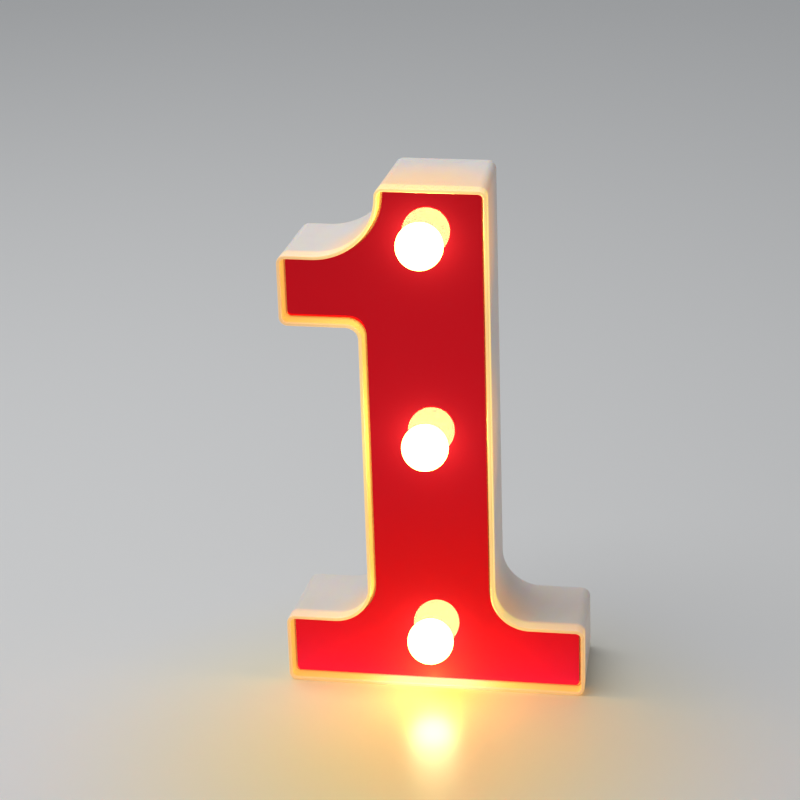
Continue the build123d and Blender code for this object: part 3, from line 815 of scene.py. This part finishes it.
def makeCell(side, look):
    low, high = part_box(f"battery_{side}")
    radius = (high.x - low.x) / 2
    length = high.z - low.z - look["nubRise"]
    can = makeCan(side, radius - look["filmWall"], length - 2 * look["filmWall"], look)
    sleeve = makeSleeve(side, radius, length, look)
    deselectAll()
    sleeve.select_set(True)
    can.select_set(True)
    bpy.context.view_layer.objects.active = can
    bpy.ops.object.join()
    nubUp = cellSides[side] > 0
    can.rotation_euler = (0 if nubUp else pi, 0, 0)
    middle = low.z + length / 2 if nubUp else high.z - length / 2
    can.location = ((low.x + high.x) / 2, (low.y + high.y) / 2, middle)
    settle(can, "light")
    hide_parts(f"battery_{side}")


for side in cellSides:
    makeCell(side, cellLook)
print("cells made")


# Raised words beside the switch, and an arrow on the door
markLook = {
    "letterSize": 0.0054,
    "spacing": 1.08,
    "proud": 0.00038,
    "softness": 0.00005,
    "wordsFromMiddle": {"ON": 0.0132, "OFF": -0.0144},
    "arrowRadius": 0.0042,
    "arrowBelowTop": 0.0150,
    "arrowProud": 0.00040,
    "arrowSoftness": 0.0001,
}
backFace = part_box("housing")[1].y
knobLow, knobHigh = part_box("switch_knob")
switchRise = (knobLow.z + knobHigh.z) / 2
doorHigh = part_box("battery_door")[1]


def makeWord(word, across, look):
    deselectAll()
    bpy.ops.object.text_add()
    label = takeNew(f"label_{word.lower()}")
    label.data.body = word
    label.data.size = look["letterSize"]
    label.data.space_character = look["spacing"]
    label.data.align_x = "CENTER"
    label.data.align_y = "CENTER"
    label.data.extrude = look["proud"]
    label.data.bevel_depth = look["softness"]
    label.data.bevel_resolution = 1
    bpy.ops.object.convert(target="MESH")
    bpy.ops.object.mode_set(mode="EDIT")
    turnFacesOut()
    label.data.materials.append(finishes["tray_white"])
    label.rotation_euler = (pi / 2, 0, pi)  # read from behind
    label.location = (across, backFace, switchRise)
    settle(label, "light")


def makeArrow(look):
    deselectAll()
    bpy.ops.mesh.primitive_circle_add(vertices=3, radius=look["arrowRadius"], fill_type="NGON")
    arrow = takeNew("door_arrow")
    pickFaces(arrow, lambda up: True)
    growFace(0, 2 * look["arrowProud"])
    turnFacesOut()
    softenEdges(arrow, look["arrowSoftness"])
    arrow.data.materials.append(finishes["door_white"])
    arrow.rotation_euler = (-pi / 2, 0, 0)  # lies on the door, one corner down
    arrow.location = (0, doorHigh.y - look["arrowProud"], doorHigh.z - look["arrowBelowTop"])
    settle(arrow, "door")


for word, across in markLook["wordsFromMiddle"].items():
    makeWord(word, across, markLook)
makeArrow(markLook)
print("marks made")


# Floor, world and key light
studioLook = {
    "floorSize": 6.0,
    "floor": solid(0.80, 0.80, 0.80),
    "floorLit": solid(0.86, 0.76, 0.37),
    "floorLitMiddle": (0.0, -0.085, 0.0),
    "floorLitReach": 0.17,
    "floorRoughness": 0.31,
    "floorSheen": 0.3,
    "worldColour": solid(0.92, 0.96, 1.0),
    "worldStrength": 0.27,
    "keyPower": 7.0,
    "keySize": 1.0,
    "keyPlace": (-0.36, 0.0, 1.08),
    "keyAim": (0.0, 0.0, 0.1),
}


def makeFloor(look):
    deselectAll()
    bpy.ops.mesh.primitive_plane_add(size=look["floorSize"])
    floor = takeNew("floor")
    finish = Finish("floor_paper")
    away = finish.fromPoint(look["floorLitMiddle"])
    lit = finish.fade(away, 0.0, look["floorLitReach"])  # painted pool of lamp light, yellow, by the lamps
    finish.skin(
        Base_Color=finish.mixColour(lit, look["floor"], look["floorLit"]),
        Roughness=look["floorRoughness"],
        Specular_IOR_Level=look["floorSheen"],
    )
    floor.data.materials.append(finish.material)


def makeLight(look):
    world = bpy.data.worlds.new("studio")
    bpy.context.scene.world = world
    world.use_nodes = True
    background = world.node_tree.nodes["Background"]
    background.inputs["Color"].default_value = look["worldColour"]
    background.inputs["Strength"].default_value = look["worldStrength"]
    deselectAll()
    bpy.ops.object.light_add(type="AREA", location=look["keyPlace"])
    key = bpy.context.object
    key.name = "key_light"
    key.data.shape = "DISK"
    key.data.size = look["keySize"]
    key.data.energy = look["keyPower"]
    aim = Vector(look["keyAim"]) - Vector(look["keyPlace"])
    key.rotation_euler = aim.to_track_quat("-Z", "Y").to_euler()


makeFloor(studioLook)
makeLight(studioLook)
bpy.context.scene.view_settings.view_transform = "Standard"
print("studio ready")
